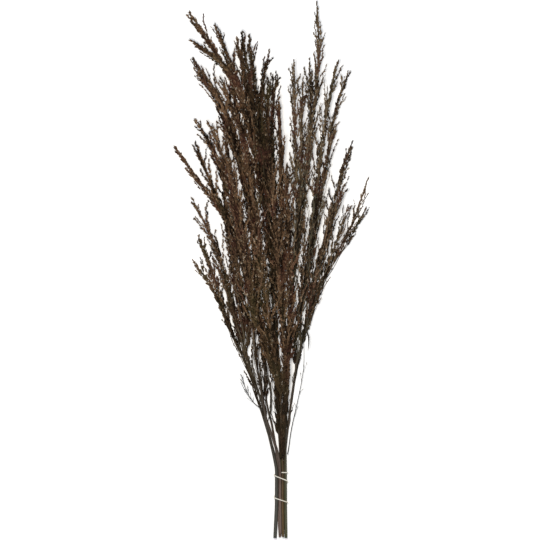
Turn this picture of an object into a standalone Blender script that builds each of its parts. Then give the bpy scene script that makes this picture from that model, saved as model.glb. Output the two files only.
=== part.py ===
"""A bunch of ten dried reeds, tied near the cut ends and lying on a flat surface. Metres, +Z up.

The reeds run along +Y, from their cut ends to the tips of their plumes, so a view from above shows the
whole fan. The plan of each stem and tuft is given in millimetres from the middle of the tie: x to the right,
y along the bunch. Heights aren't given but worked out. Each tuft has a level in the pile, and then all of
them are eased apart until, in every cross-section of the bunch, none runs into its neighbour.
"""

import math
from dataclasses import dataclass, field

import bmesh
import bpy
import numpy as np

MM = 0.001

# The tied bundle
GAP = 0.3  # between pieces that touch, mm
CORD_RADIUS = 0.75
TIE_REACH = 26.0  # the stems run side by side this far on both sides of the middle of the tie
ROWS = 3

# The pile, measured across the bunch: half of its height, at distances along it from the tie
PILE_Y = (0, 60, 150, 300, 450, 600, 700)
PILE_HALF_HEIGHT = (6, 9, 17, 29, 31, 24, 14)
LEVEL_FROM, LEVEL_AT = 26.0, 120.0  # a stem leaves its row here, and lies at its level of the pile here

# Easing the pieces apart
STATION = 6.0  # mm from one cross-section to the next
ROUNDS = 760
GIVE = 0.8  # of an overlap, given way to in one round
SIDEWAYS = 0.25  # a piece gives way up and down more readily than to the side
RETURN = 0.03  # of a move to the side, taken back in one round
STIFFNESS = 0.12  # how much of a bend evens out in one round
STIFF_ROUNDS = 600
MARGIN = 0.35  # room on top of GAP

# Stems
STEM_SIDES = 8
STEM_RING_STEP = 40.0
STEM_THINS_TO = 0.62  # of its radius, at the foot of the plume
JOINT_SWELL = 0.16
JOINT_HALF_LENGTH = 5.0

# Tufts: a flattened spindle with lumpy ridges, from whose sides pointed locks stand out
TUFT_SIDES = 6
TUFT_RING_STEP = 26.0
TUFT_TWIST = math.radians(80)  # from its foot to its tip
TUFT_FLATNESS = 0.76  # its height, of its width
TUFT_FOOT_SHARE = 0.7  # a side tuft's foot, of its stem's radius there
TIP_RADIUS = 0.55
BODY_SHARE = 0.9  # of the tuft's radius, within which its ridges stay, while its locks fill the rest
RIDGE_DEPTH = 0.22
LUMP_DEPTH = 0.14
LUMPS = 3.3  # along one ridge
LOCK_LEAN = 0.6  # of the face ahead, over which the tip of a lock stands
LOCK_REACH = 0.98
LOCK_HEIGHT = 0.14  # of the tuft's radius, the least height of a lock over its own face and the one ahead

BLADE_THICKNESS = 0.25  # of its width
CORD_BEVEL_RESOLUTION = 2  # eight sides
CORD_STEP = math.radians(20)
CREASE = math.radians(50)  # shading is smooth across edges flatter than this


@dataclass
class Tuft:
    """One main branch of a plume. Its plan runs from its foot, beside its own reed, to its tip."""

    name: str
    plan: list
    radius: float
    level: float  # -1 lies on the floor, 1 on top of the pile


@dataclass
class Reed:
    """A stem and its plume. The plume's leading tuft carries on the stem's line, and the others fork off."""

    name: str
    row: int  # in the tied bundle, where 0 is the lowest
    radius: float  # of the stem, at the tie
    butt: tuple  # the cut end
    joint: float  # y of the stem's joint
    plan: list  # of the stem above the tie, up to the foot of the plume
    leader: Tuft
    finish: str
    tufts: list = field(default_factory=list)


@dataclass
class Remnant:
    """A strip of dried leaf, or a bare wisp, that still hangs on a reed."""

    name: str
    reed: str
    plan: list
    width: float
    level: float


# Within a row of the tied bundle, the reeds stand in this order, left to right.
REEDS = [
    Reed("far_left", 0, 1.7, (-1.0, -68), 62, [(-11, 54), (-22, 86), (-35, 135), (-57, 190)],
         Tuft("leader", [(-76, 235), (-97, 281), (-121, 314)], 5.5, -1.0), "umber",
         [Tuft("lower", [(-56, 196), (-68, 250), (-78, 290), (-92, 317)], 6.0, -0.5),
          Tuft("upper", [(-58, 204), (-74, 240), (-90, 286), (-114, 349)], 7.5, -0.75)]),
    Reed("left", 2, 2.5, (-8.2, -71), 112, [(-18, 79), (-28, 124), (-41, 165), (-48, 201)],
         Tuft("leader", [(-67, 260), (-89, 336), (-122, 400)], 9.0, -0.1), "umber",
         [Tuft("inner", [(-45, 190), (-53, 260), (-62, 329), (-68, 392)], 8.5, 0.3),
          Tuft("upper", [(-47, 199), (-62, 274), (-72, 357), (-80, 424)], 8.0, -0.45)]),
    Reed("left_front", 2, 2.0, (-0.6, -66), 56, [(-14, 79), (-22, 114), (-33, 162), (-38, 218)],
         Tuft("leader", [(-47, 315), (-62, 399), (-82, 468), (-100, 507)], 13.0, 0.75), "russet",
         [Tuft("upper", [(-38, 245), (-52, 343), (-64, 419), (-78, 492)], 10.0, 0.95),
          Tuft("crest", [(-56, 360), (-77, 428), (-96, 475), (-117, 510)], 9.0, 0.45),
          Tuft("outer", [(-40, 281), (-68, 364), (-94, 417), (-118, 478)], 6.5, 0.2),
          Tuft("outermost", [(-41, 294), (-76, 378), (-112, 424), (-147, 474)], 6.0, -0.75)]),
    Reed("upper_left", 1, 1.9, (-1.2, -70), 98, [(-10, 79), (-20, 117), (-22, 156), (-31, 240)],
         Tuft("leader", [(-37, 357), (-53, 454), (-79, 533), (-121, 597)], 12.5, 0.05), "russet",
         [Tuft("lower", [(-34, 315), (-50, 426), (-68, 489), (-88, 528)], 6.5, -0.55),
          Tuft("inner", [(-33, 288), (-40, 399), (-58, 496), (-83, 568)], 9.5, 0.55),
          Tuft("crest", [(-57, 455), (-70, 505), (-90, 547), (-119, 582)], 8.5, 0.65),
          Tuft("upper", [(-34, 329), (-42, 440), (-60, 524), (-71, 577)], 6.5, -0.85)]),
    Reed("top_left", 0, 1.8, (2.9, -69), 122, [(-3, 79), (-7, 149), (-11, 232), (-12, 260)],
         Tuft("leader", [(-21, 385), (-38, 482), (-64, 565), (-99, 621), (-125, 660)], 11.0, -0.45), "russet",
         [Tuft("outer", [(-32, 468), (-57, 551), (-82, 593), (-121, 621)], 6.5, 0.1),
          Tuft("upper", [(-22, 399), (-40, 510), (-61, 572), (-90, 640)], 8.0, 0.35),
          Tuft("inner", [(-21, 385), (-32, 496), (-47, 558), (-61, 625)], 7.5, -0.8)]),
    Reed("top_centre", 1, 1.9, (3.0, -66), 70, [(0, 79), (-3, 149), (-7, 218), (-7, 246)],
         Tuft("leader", [(-15, 371), (-26, 482), (-38, 565), (-44, 629)], 9.5, 0.2), "dark",
         [Tuft("outer", [(-18, 399), (-29, 482), (-43, 565), (-54, 630)], 6.0, 0.75),
          Tuft("upper", [(-13, 343), (-22, 468), (-29, 545), (-17, 606)], 6.5, -0.3),
          Tuft("front", [(-11, 329), (-17, 440), (-18, 510), (-18, 568)], 9.0, 0.75),
          Tuft("inner", [(-9, 301), (-12, 426), (-12, 510), (-7, 576)], 6.5, -0.6)]),
    Reed("centre_front", 2, 1.5, (3.2, -70), 47, [(2, 79), (3, 104)],
         Tuft("leader", [(4, 190), (-1, 288), (-8, 378), (-12, 454)], 11.0, 0.95), "russet",
         [Tuft("outer", [(0, 128), (-18, 197), (-43, 274), (-53, 360)], 12.0, 0.8),
          Tuft("lower", [(1, 121), (-15, 218), (-28, 315), (-33, 406)], 11.0, 0.9),
          Tuft("upper", [(0, 218), (3, 343), (1, 440), (-3, 540)], 7.5, 0.55),
          Tuft("inner", [(4, 149), (12, 232), (11, 329), (8, 447)], 9.5, 0.7)]),
    Reed("tall_right", 2, 2.1, (7.2, -71), 90, [(6, 79), (8, 149), (13, 232), (15, 260)],
         Tuft("leader", [(25, 371), (42, 496), (54, 593), (50, 676)], 10.0, 0.55), "dark",
         [Tuft("upper", [(19, 301), (33, 412), (42, 510), (40, 593)], 7.0, 0.1),
          Tuft("inner", [(17, 274), (21, 385), (20, 496), (18, 592)], 9.0, 0.8),
          Tuft("lower", [(19, 315), (28, 426), (29, 496), (31, 567)], 6.0, 0.9)]),
    Reed("upper_right", 1, 1.9, (7.2, -69), 130, [(9, 79), (17, 142), (25, 205), (29, 239)],
         Tuft("leader", [(46, 343), (64, 454), (76, 524), (93, 578)], 9.0, -0.2), "umber",
         [Tuft("upper", [(34, 274), (49, 412), (62, 517), (79, 593)], 8.0, 0.45),
          Tuft("outer", [(32, 246), (57, 315), (76, 406), (99, 480)], 9.0, -0.55),
          Tuft("lower", [(33, 260), (61, 343), (86, 415)], 6.5, 0.25),
          Tuft("inner", [(30, 243), (39, 315), (46, 378), (54, 440)], 7.5, -0.8)]),
    Reed("far_right", 0, 1.5, (6.6, -67), 52, [(10, 79), (18, 140), (28, 197)],
         Tuft("leader", [(46, 262), (73, 315), (103, 374), (121, 429)], 6.5, -1.0), "umber",
         [Tuft("lower", [(30, 211), (50, 274), (76, 336), (93, 392)], 8.5, -0.3),
          Tuft("inner", [(22, 165), (25, 232), (31, 301), (33, 378)], 9.0, 0.45),
          Tuft("crest", [(77, 320), (98, 352), (118, 388)], 4.5, -0.8),
          Tuft("upper", [(29, 197), (41, 260), (58, 329), (69, 392)], 9.5, 0.35)]),
]

REMNANTS = [
    Remnant("wisp_left", "left", [(-27, 108), (-37, 117), (-47, 132), (-54, 151)], 2.0, -0.6),
    Remnant("leaf_centre", "left_front", [(-16, 96), (-15, 142), (-20, 160), (-33, 179)], 3.4, 0.9),
    Remnant("leaf_right", "upper_right", [(33, 232), (38, 222), (40, 206), (38, 190)], 2.4, 0.6),
    Remnant("wisp_right", "tall_right", [(9, 46), (14, 79), (25, 128), (32, 169), (32, 204)], 1.8, 0.0),
]

# Where the cord stands along the bunch, by its angle round the bundle: 180 is the left side, 90 the top and 0
# the right side
CORD_ANGLES = (85, 0, -180, -360, -540, -720, -800)
CORD_Y = (20.8, 20.8, 17.4, 8.3, -13.9, -21.5, -22.0)

# Colour as red, green and blue out of 255, and roughness
FINISHES = {
    "stem": ((88, 74, 58), 0.6),
    "russet": ((98, 72, 52), 0.85),
    "umber": ((84, 68, 52), 0.85),
    "dark": ((66, 56, 44), 0.85),
    "leaf": ((104, 98, 80), 0.7),
    "cord": ((226, 214, 190), 0.8),
}


def clear_scene():
    for thing in list(bpy.data.objects):
        bpy.data.objects.remove(thing)


def make_material(name, finish):
    colour, roughness = FINISHES[finish]
    material = bpy.data.materials.new(f"{finish}_{name}")
    material.use_nodes = True
    shader = material.node_tree.nodes["Principled BSDF"]
    shader.inputs["Base Color"].default_value = (*((channel / 255) ** 2.2 for channel in colour), 1)
    shader.inputs["Roughness"].default_value = roughness
    shader.inputs["Metallic"].default_value = 0.0
    return material


# ---- Lines through the bunch


@dataclass
class Line:
    """The centre line of a reed, a tuft or a remnant. It is straight from one of its rings to the next."""

    y: np.ndarray  # of its rings
    x: np.ndarray
    z: np.ndarray
    radius: np.ndarray
    flatness: np.ndarray  # the height of its section, of its width
    freedom: np.ndarray  # 0 where the tie holds it
    parent: "Line" = None
    foot: int = 0  # its ring at its parent: 0 or -1
    stem_rings: int = 0

    def at(self, y):
        """x, z, radius and flatness at this y."""
        return tuple(np.interp(y, self.y, values) for values in (self.x, self.z, self.radius, self.flatness))


def smooth_plan(points, y):
    """x at each y, on a smooth curve through the plan's points."""
    at_x, at_y = np.array(sorted(points, key=lambda point: point[1]), float).T
    slope = np.gradient(at_x, at_y)
    y = np.clip(y, at_y[0], at_y[-1])
    piece = np.clip(np.searchsorted(at_y, y, side="right") - 1, 0, len(at_y) - 2)
    length = at_y[piece + 1] - at_y[piece]
    t = (y - at_y[piece]) / length
    from_points = (2 * t**3 - 3 * t**2 + 1) * at_x[piece] + (3 * t**2 - 2 * t**3) * at_x[piece + 1]
    from_slopes = (t**3 - 2 * t**2 + t) * slope[piece] + (t**3 - t**2) * slope[piece + 1]
    return from_points + from_slopes * length


def smooth_step(value, low, high):
    t = np.clip((value - low) / (high - low), 0, 1)
    return t * t * (3 - 2 * t)


def level_height(level, y, radius):
    """The height of a line at this level of the pile."""
    return radius + (1 + level) * np.interp(y, PILE_Y, PILE_HALF_HEIGHT)


def tuft_radius(share, foot, full):
    """A tuft swells from its foot to its full radius past its middle, then runs out to a fine tip."""
    swell = 2.38 * share**0.65 * (1 - share) ** 0.6
    return TIP_RADIUS * share + foot * (1 - share) + (full - foot) * swell


def stem_radius(reed, y):
    thinning = 1 - (1 - STEM_THINS_TO) * smooth_step(y, 0, reed.plan[-1][1])
    swelling = 1 + JOINT_SWELL * np.exp(-(((y - reed.joint) / JOINT_HALF_LENGTH) ** 2))
    return reed.radius * thinning * swelling


def bundle_seats():
    """Where each stem lies in the tied bundle, as x and z by the reed's name. The cord is under the lowest row.
    """
    seats = {}
    top = 2 * CORD_RADIUS
    for row in range(ROWS):
        reeds = [reed for reed in REEDS if reed.row == row]
        height = top + GAP + max(reed.radius for reed in reeds)
        left = -sum(2 * reed.radius + GAP for reed in reeds) / 2 + GAP / 2
        for reed in reeds:
            seats[reed.name] = (left + reed.radius, height)
            left += 2 * reed.radius + GAP
        top = height + max(reed.radius for reed in reeds)
    return seats


def even_rings(start, end, step, least=5):
    return np.linspace(start, end, max(least, round((end - start) / step) + 1))


def stem_rings(reed, end):
    """Rings along the stem, with closer ones at its joint, and one at each end of the tied stretch."""
    joint = reed.joint + np.array([-1.4, 0, 1.4]) * JOINT_HALF_LENGTH
    even = even_rings(reed.butt[1], end, STEM_RING_STEP)
    set_rings = np.concatenate([joint, [-TIE_REACH, TIE_REACH]])
    clear = np.abs(even[:, None] - set_rings[None]).min(axis=1) > 2 * JOINT_HALF_LENGTH
    clear[[0, -1]] = True
    return np.sort(np.concatenate([even[clear], set_rings]))


def reed_line(reed, seat):
    seat_x, seat_z = seat
    foot = reed.plan[-1][1]
    tip = reed.leader.plan[-1][1]
    on_stem = stem_rings(reed, foot - GAP)
    on_plume = even_rings(foot, tip, TUFT_RING_STEP)
    y = np.concatenate([on_stem, on_plume])
    plume = tuft_radius((on_plume - foot) / (tip - foot), reed.radius * STEM_THINS_TO, reed.leader.radius)
    radius = np.concatenate([stem_radius(reed, on_stem), plume])
    held = [reed.butt, (seat_x, -TIE_REACH), (seat_x, 0), (seat_x, TIE_REACH)]
    x = smooth_plan(held + reed.plan + reed.leader.plan, y)
    away = smooth_step(y, LEVEL_FROM, LEVEL_AT)
    z = seat_z * (1 - away) + level_height(reed.leader.level, y, radius) * away
    freedom = smooth_step(y, LEVEL_FROM, LEVEL_AT * 0.8)
    flatness = np.where(y < foot, 1, TUFT_FLATNESS)
    return Line(y, x, z, radius, flatness, freedom, stem_rings=len(on_stem))


def branch_line(plan, level, step, radius_at, parent, flatness=1.0):
    """A line whose foot lies beside its parent. radius_at gives its radius for a share of its length."""
    y = even_rings(*sorted((plan[0][1], plan[-1][1])), step)
    share = np.linspace(0, 1, len(y))
    foot = 0
    if plan[0][1] > plan[-1][1]:
        share = share[::-1]
        foot = -1
    radius = radius_at(share)
    away = smooth_step(share, 0, 0.5)
    z = parent.at(y)[1] * (1 - away) + level_height(level, y, radius) * away
    return Line(y, smooth_plan(plan, y), z, radius, np.full(len(y), flatness), np.ones(len(y)), parent, foot)


def tuft_line(tuft, reed, parent):
    foot_radius = reed.radius * STEM_THINS_TO * TUFT_FOOT_SHARE

    def radius_at(share):
        return tuft_radius(share, foot_radius, tuft.radius)

    return branch_line(tuft.plan, tuft.level, TUFT_RING_STEP, radius_at, parent, TUFT_FLATNESS)


def remnant_line(remnant, parent):
    """Narrow at both ends, and widest at its middle."""

    def radius_at(share):
        return remnant.width / 2 * (0.4 + 0.6 * np.sin(np.pi * (0.15 + 0.8 * share)))

    return branch_line(remnant.plan, remnant.level, 2 * STATION, radius_at, parent)


def make_lines():
    """Every line of the bunch, by name."""
    seats = bundle_seats()
    lines = {}
    for reed in REEDS:
        own = lines[reed.name] = reed_line(reed, seats[reed.name])
        for tuft in reed.tufts:
            lines[f"{reed.name}_{tuft.name}"] = tuft_line(tuft, reed, own)
    for remnant in REMNANTS:
        lines[remnant.name] = remnant_line(remnant, lines[remnant.reed])
    return lines


def ring_shares(line, y):
    """How much each ring counts at each y: a row for each y, with two rings that sum to 1."""
    ahead = np.clip(np.searchsorted(line.y, y), 1, len(line.y) - 1)
    share = (y - line.y[ahead - 1]) / (line.y[ahead] - line.y[ahead - 1])
    shares = np.zeros((len(y), len(line.y)))
    shares[np.arange(len(y)), ahead] = share
    shares[np.arange(len(y)), ahead - 1] = 1 - share
    return shares


def evened(moved, y):
    """A line's moves from its plan, each drawn a little towards the straight line between its neighbours."""
    between = moved.copy()
    share = (y[1:-1] - y[:-2]) / (y[2:] - y[:-2])
    between[1:-1] = moved[:-2] * (1 - share) + moved[2:] * share
    between[0], between[-1] = moved[1], moved[-2]
    return moved + STIFFNESS * (between - moved)


def settle_foot(line):
    """Sets a branch's foot beside its parent, on the side that its next ring lies on."""
    end = line.foot
    beside = 1 if end == 0 else -2
    x, z, radius, flatness = (values[0] for values in line.parent.at(line.y[[end]]))
    beside_x, beside_z = (values[0] for values in line.parent.at(line.y[[beside]])[:2])
    away = np.array([line.x[beside] - beside_x, (line.z[beside] - beside_z) / flatness])
    away *= (radius + line.radius[end] / flatness + GAP) / max(np.hypot(*away), 1e-6)
    line.x[end] = x + away[0]
    line.z[end] = z + away[1] * flatness


def ease_apart(lines):
    """Moves the lines across the bunch until their sections are clear of each other. Tufts are flattened, so
    heights are stretched for this until their sections are round."""
    stretch = 1 / TUFT_FLATNESS
    first = min(line.y[0] for line in lines)
    last = max(line.y[-1] for line in lines)
    stations = np.arange(first, last, STATION)
    shape = (len(lines), len(stations))
    x, z, radius, freedom = (np.zeros(shape) for _ in range(4))
    there = np.zeros(shape, bool)
    shares, pulls, plans = [], [], []
    for row, line in enumerate(lines):
        here = there[row] = (stations >= line.y[0]) & (stations <= line.y[-1])
        shares.append(ring_shares(line, stations[here]))
        pulls.append(shares[row].T / np.maximum((shares[row] ** 2).sum(axis=0), 1e-6)[:, None])
        plans.append((line.x.copy(), line.z.copy()))
        # A leaning tube is wider in a cross-section of the bunch than in its own.
        lean = np.hypot(np.gradient(line.x, line.y), np.gradient(line.z, line.y))
        wide = line.radius * np.hypot(1, lean) * line.flatness * stretch
        radius[row, here] = shares[row] @ wide
        freedom[row, here] = shares[row] @ line.freedom
    room = GAP + MARGIN * np.minimum(freedom[:, None], freedom[None])
    needed = radius[:, None] + radius[None] + room
    together = there[:, None] & there[None] & ~np.eye(len(lines), dtype=bool)[:, :, None]
    for turn in range(ROUNDS):
        for row, line in enumerate(lines):
            x[row, there[row]] = shares[row] @ line.x
            z[row, there[row]] = shares[row] @ line.z * stretch
        dx, dz = x[:, None] - x[None], z[:, None] - z[None]
        apart = np.maximum(np.hypot(dx, dz), 1e-6)
        push = np.where(together, np.maximum(needed - apart, 0), 0) / apart * GIVE / 2
        push_x, push_z = (dx * push).sum(1) * SIDEWAYS, (dz * push).sum(1) / stretch
        for row, line in enumerate(lines):
            here = there[row]
            line.x += pulls[row] @ push_x[row, here] * line.freedom
            line.z += pulls[row] @ push_z[row, here] * line.freedom
            if turn < STIFF_ROUNDS:
                plan_x, plan_z = plans[row]
                moved_x = evened((line.x - plan_x) * (1 - RETURN), line.y)
                moved_z = evened(line.z - plan_z, line.y)
                line.x = plan_x + np.where(line.freedom > 0, moved_x, 0)
                line.z = plan_z + np.where(line.freedom > 0, moved_z, 0)
            line.z = np.where(line.freedom > 0, np.maximum(line.z, line.radius * line.flatness), line.z)
            if line.parent:
                settle_foot(line)


# ---- Solids


def add_rings(bm, line, rings, reach, twist=0.0):
    """Rings of vertices square to the line. reach has a row for each ring and a column for each corner, as
    shares of the ring's radius."""
    centres = np.stack([line.x, line.y, line.z], axis=1)
    ahead = np.gradient(centres, axis=0)
    if line.stem_rings:
        # The end of the stem and the foot of its plume lie flat on each other.
        meeting = [line.stem_rings - 1, line.stem_rings]
        ahead[meeting] = ahead[meeting].sum(axis=0)
    ahead /= np.linalg.norm(ahead, axis=1)[:, None]
    centres, ahead = centres[rings], ahead[rings]
    side = np.cross(ahead, (0, 0, 1))
    side /= np.linalg.norm(side, axis=1)[:, None]
    up = np.cross(side, ahead) * line.flatness[rings, None]
    count, corners = reach.shape
    verts = []
    for ring, radius in enumerate(line.radius[rings]):
        angles = 2 * math.pi * np.arange(corners) / corners + twist * ring / (count - 1)
        out = np.outer(np.cos(angles), side[ring]) + np.outer(np.sin(angles), up[ring])
        places = centres[ring] + out * (reach[ring] * radius)[:, None]
        verts.append([bm.verts.new(place * MM) for place in places])
    return verts


def skin(bm, rings):
    """Faces between the rings, and over both ends. Gives the faces between the rings by ring and corner."""
    faces = {}
    corners = len(rings[0])
    for ring, (near, far) in enumerate(zip(rings, rings[1:])):
        for corner in range(corners):
            beside = (corner + 1) % corners
            faces[ring, corner] = bm.faces.new((near[corner], near[beside], far[beside], far[corner]))
    bm.faces.new(reversed(rings[0]))
    bm.faces.new(rings[-1])
    bmesh.ops.recalc_face_normals(bm, faces=bm.faces)
    return faces


def add_lock(bm, face, tip):
    """Draws a face out to a point."""
    end = bmesh.ops.extrude_discrete_faces(bm, faces=[face])["faces"][0]
    bmesh.ops.pointmerge(bm, verts=end.verts[:], merge_co=tip * MM)


def lock_tip(line, ahead):
    """The point of a lock: over this face, which is the one ahead of its own, at the edge of the tuft."""
    corners = np.array([vertex.co for vertex in ahead.verts]) / MM
    place = corners[:2].mean(axis=0) * (1 - LOCK_LEAN) + corners[2:].mean(axis=0) * LOCK_LEAN
    x, z, radius, flatness = line.at(place[1])
    out = np.array([place[0] - x, (place[2] - z) / flatness])
    out *= LOCK_REACH * radius / np.hypot(*out)
    return np.array([x + out[0], place[1], z + out[1] * flatness])


def stands_clear(line, tip, face):
    """Whether the point of a lock stands well over this face."""
    over = (tip - np.array(face.calc_center_median()) / MM) @ np.array(face.normal)
    return over > LOCK_HEIGHT * line.at(tip[1])[2]


def add_node(bm, name, finish, parent):
    mesh = bpy.data.meshes.new(name)
    bm.to_mesh(mesh)
    bm.free()
    mesh.shade_smooth()
    mesh.set_sharp_from_angle(angle=CREASE)
    mesh.materials.append(make_material(name, finish))
    solid = bpy.data.objects.new(name, mesh)
    bpy.context.scene.collection.objects.link(solid)
    solid.parent = parent


def make_tuft(name, line, finish, parent):
    """A tuft along this line, on all its rings past the stem."""
    rings = np.arange(line.stem_rings, len(line.y))
    count = len(rings)
    ring, corner = np.mgrid[0:count, 0:TUFT_SIDES]
    ridge = 1 - RIDGE_DEPTH * (corner % 2)
    lump = 0.5 + 0.5 * np.sin(2 * np.pi * (LUMPS * ring / (count - 1) + 0.37 * corner))
    reach = BODY_SHARE * ridge * (1 - LUMP_DEPTH * lump)
    bm = bmesh.new()
    faces = skin(bm, add_rings(bm, line, rings, reach, TUFT_TWIST))
    for k in range(1, count - 2):
        for corner in (2 * k % TUFT_SIDES, (2 * k + 3) % TUFT_SIDES):
            face, ahead = faces[k, corner], faces[k + 1, corner]
            tip = lock_tip(line, ahead)
            if stands_clear(line, tip, face) and stands_clear(line, tip, ahead):
                add_lock(bm, face, tip)
    add_node(bm, name, finish, parent)


def make_stem(name, line, parent):
    bm = bmesh.new()
    skin(bm, add_rings(bm, line, np.arange(line.stem_rings), np.ones((line.stem_rings, STEM_SIDES))))
    add_node(bm, name, "stem", parent)


def make_remnant(name, line, parent):
    flat = np.tile((1, BLADE_THICKNESS, 1, BLADE_THICKNESS), (len(line.y), 1))
    bm = bmesh.new()
    skin(bm, add_rings(bm, line, np.arange(len(line.y)), flat))
    add_node(bm, name, "leaf", parent)


def cord_places():
    """The cord's centre line, wound round the outline of the tied stems. It runs along the bunch in step with
    its length round them."""
    seats = bundle_seats()
    stems = [(*seats[reed.name], reed.radius) for reed in REEDS]
    angles = np.arange(math.radians(CORD_ANGLES[0]), math.radians(CORD_ANGLES[-1]), -CORD_STEP)
    round_it = []
    for angle in angles:
        toward = np.array([math.cos(angle), math.sin(angle)])
        x, z, radius = max(stems, key=lambda stem: stem[0] * toward[0] + stem[1] * toward[1] + stem[2])
        round_it.append((x, z) + (radius + GAP + CORD_RADIUS) * toward)
    length = np.concatenate([[0], np.cumsum(np.linalg.norm(np.diff(round_it, axis=0), axis=1))])
    length_at_angles = np.interp(-np.radians(CORD_ANGLES), -angles, length)
    along = np.interp(length, length_at_angles, CORD_Y)
    return [(x, y, z) for (x, z), y in zip(round_it, along)]


def make_cord(parent):
    """A round cord, as a curve with a bevel."""
    data = bpy.data.curves.new("tie_cord", "CURVE")
    data.dimensions = "3D"
    data.bevel_depth = CORD_RADIUS * MM
    data.bevel_resolution = CORD_BEVEL_RESOLUTION
    data.use_fill_caps = True
    places = cord_places()
    spline = data.splines.new("POLY")
    spline.points.add(len(places) - 1)
    for point, place in zip(spline.points, places):
        point.co = (*(coordinate * MM for coordinate in place), 1)
    data.materials.append(make_material("tie", "cord"))
    cord = bpy.data.objects.new("tie_cord", data)
    bpy.context.scene.collection.objects.link(cord)
    cord.parent = parent


def set_on_origin(holder):
    """Moves the bunch so that the middle of its footprint is the origin and its lowest point is at z = 0."""
    bpy.context.view_layer.update()
    graph = bpy.context.evaluated_depsgraph_get()
    corners = []
    for solid in holder.children_recursive:
        if solid.type != "EMPTY":
            corners += [vertex.co[:] for vertex in solid.evaluated_get(graph).to_mesh().vertices]
    low, high = np.min(corners, axis=0), np.max(corners, axis=0)
    middle = (low + high) / 2
    holder.location = (-middle[0], -middle[1], -low[2])


def add_holder(name, parent=None):
    holder = bpy.data.objects.new(name, None)
    bpy.context.scene.collection.objects.link(holder)
    holder.parent = parent
    return holder


def main():
    clear_scene()
    bunch = add_holder("bunch")
    lines = make_lines()
    ease_apart(list(lines.values()))
    for reed in REEDS:
        holder = add_holder(f"reed_{reed.name}", bunch)
        make_stem(f"stem_{reed.name}", lines[reed.name], holder)
        make_tuft(f"plume_{reed.name}_leader", lines[reed.name], reed.finish, holder)
        for tuft in reed.tufts:
            name = f"{reed.name}_{tuft.name}"
            make_tuft(f"plume_{name}", lines[name], reed.finish, holder)
        for remnant in REMNANTS:
            if remnant.reed == reed.name:
                make_remnant(remnant.name, lines[remnant.name], holder)
    make_cord(bunch)
    set_on_origin(bunch)


main()
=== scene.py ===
"""A bunch of dried reeds, tied with a cord and lying on a pale floor, seen from above. Metres, +Z up.

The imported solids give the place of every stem, tuft and leaf, and of the cord. Each tuft's solid is filled
with a branching spray: a stalk along its middle, twigs that leave the stalk and poke out of the tuft as
separate fingers, twiglets on the twigs, and spikelets on the twiglets.
"""

import math
from dataclasses import dataclass

import bpy
import numpy as np
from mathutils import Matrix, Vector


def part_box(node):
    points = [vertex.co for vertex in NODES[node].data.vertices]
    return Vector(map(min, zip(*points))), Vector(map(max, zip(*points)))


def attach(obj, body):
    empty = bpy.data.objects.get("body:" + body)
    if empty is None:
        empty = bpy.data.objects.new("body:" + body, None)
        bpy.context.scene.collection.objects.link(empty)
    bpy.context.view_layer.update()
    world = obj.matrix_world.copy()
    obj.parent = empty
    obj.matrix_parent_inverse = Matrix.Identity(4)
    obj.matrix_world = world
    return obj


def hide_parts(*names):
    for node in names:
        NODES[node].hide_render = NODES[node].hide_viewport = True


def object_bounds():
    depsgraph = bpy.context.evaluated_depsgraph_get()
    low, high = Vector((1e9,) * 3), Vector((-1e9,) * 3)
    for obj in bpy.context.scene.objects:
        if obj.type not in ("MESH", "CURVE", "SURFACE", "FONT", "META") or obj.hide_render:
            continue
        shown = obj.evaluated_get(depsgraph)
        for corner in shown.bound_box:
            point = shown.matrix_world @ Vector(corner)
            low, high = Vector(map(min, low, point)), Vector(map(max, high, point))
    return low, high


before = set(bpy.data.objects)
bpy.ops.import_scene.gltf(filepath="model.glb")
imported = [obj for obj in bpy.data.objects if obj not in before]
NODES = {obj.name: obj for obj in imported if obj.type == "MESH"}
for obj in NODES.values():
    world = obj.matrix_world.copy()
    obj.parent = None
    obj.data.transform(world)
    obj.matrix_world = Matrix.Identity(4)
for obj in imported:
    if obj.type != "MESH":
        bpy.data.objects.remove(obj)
CAD_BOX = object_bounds()

MM = 0.001
FLOOR_GAP = 0.2 * MM  # the least height of a husk over the floor
TUFT_STATIONS = 24  # along a solid, where its sections are read
STEM_STATIONS = 60
LEAF_STATIONS = 30
GOLDEN_ANGLE = math.radians(137.5)  # from one twig or cluster to the next
TURN_STRAY = 0.3  # radians, by which each strays from that
VIGOUR = (0.75, 1.15)  # of one twig's husks, and of one cluster's
STRIP_MARGIN = 0.1  # beside each strip of a spray's map, of its width
CELL_MARGIN = 0.06  # round each spikelet's square there

# The stalk of a spray
STALK_RADIUS = 0.75 * MM  # at its foot
STALK_END = 0.35  # of that, at its tip
STALK_SIDES = 5
STALK_RINGS = 16
STALK_TINT = 0.5
PAST_THE_TIP = 5 * MM  # the most that a spray runs on past its solid's tip
STALK_PAST = (0.4, 0.8)  # of it, where the stalk's last two rings are
LEADING_BARE = 0.5  # of the stalk

# Twigs
TWIG_SIDES = 3
TWIG_RINGS = 9
TWIG_STEP = 8.6 * MM  # along a tuft of the usual half-width
USUAL_HALF_WIDTH = 8 * MM
CROWDING = 0.7  # power: the higher, the more twigs a broad tuft has
FEWEST_TWIGS = 3
LAST_TWIG = 0.93  # of the tuft's length, up to which twigs start
TWIG_LENGTH = (22 * MM, 62 * MM)
ROOM_TAKEN = (0.55, 1.0)  # the most that a twig takes of the way to its spray's tip
TWIG_RADIUS = 0.5 * MM
TWIG_END = 0.3  # of that, at its tip
TWIG_AIM = 0.5  # of its length, where the tuft's half-width guides it
LEAVING = 1.5  # power: the higher, the sooner it leaves its stalk
POKING = 1.6  # power: the higher, the later it turns outwards
BARE_STRAY = (0.6, 1.4)  # of what is usual on its reed
FINGERS = 0.6  # of the twigs stand out of the tuft's solid
FINGER_POKE = (2.5 * MM, 11.5 * MM)
INNER_POKE = (-1 * MM, 3.4 * MM)
INNER_REACH = (0.02, 0.9)  # squared share of the tuft's half-width
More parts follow.
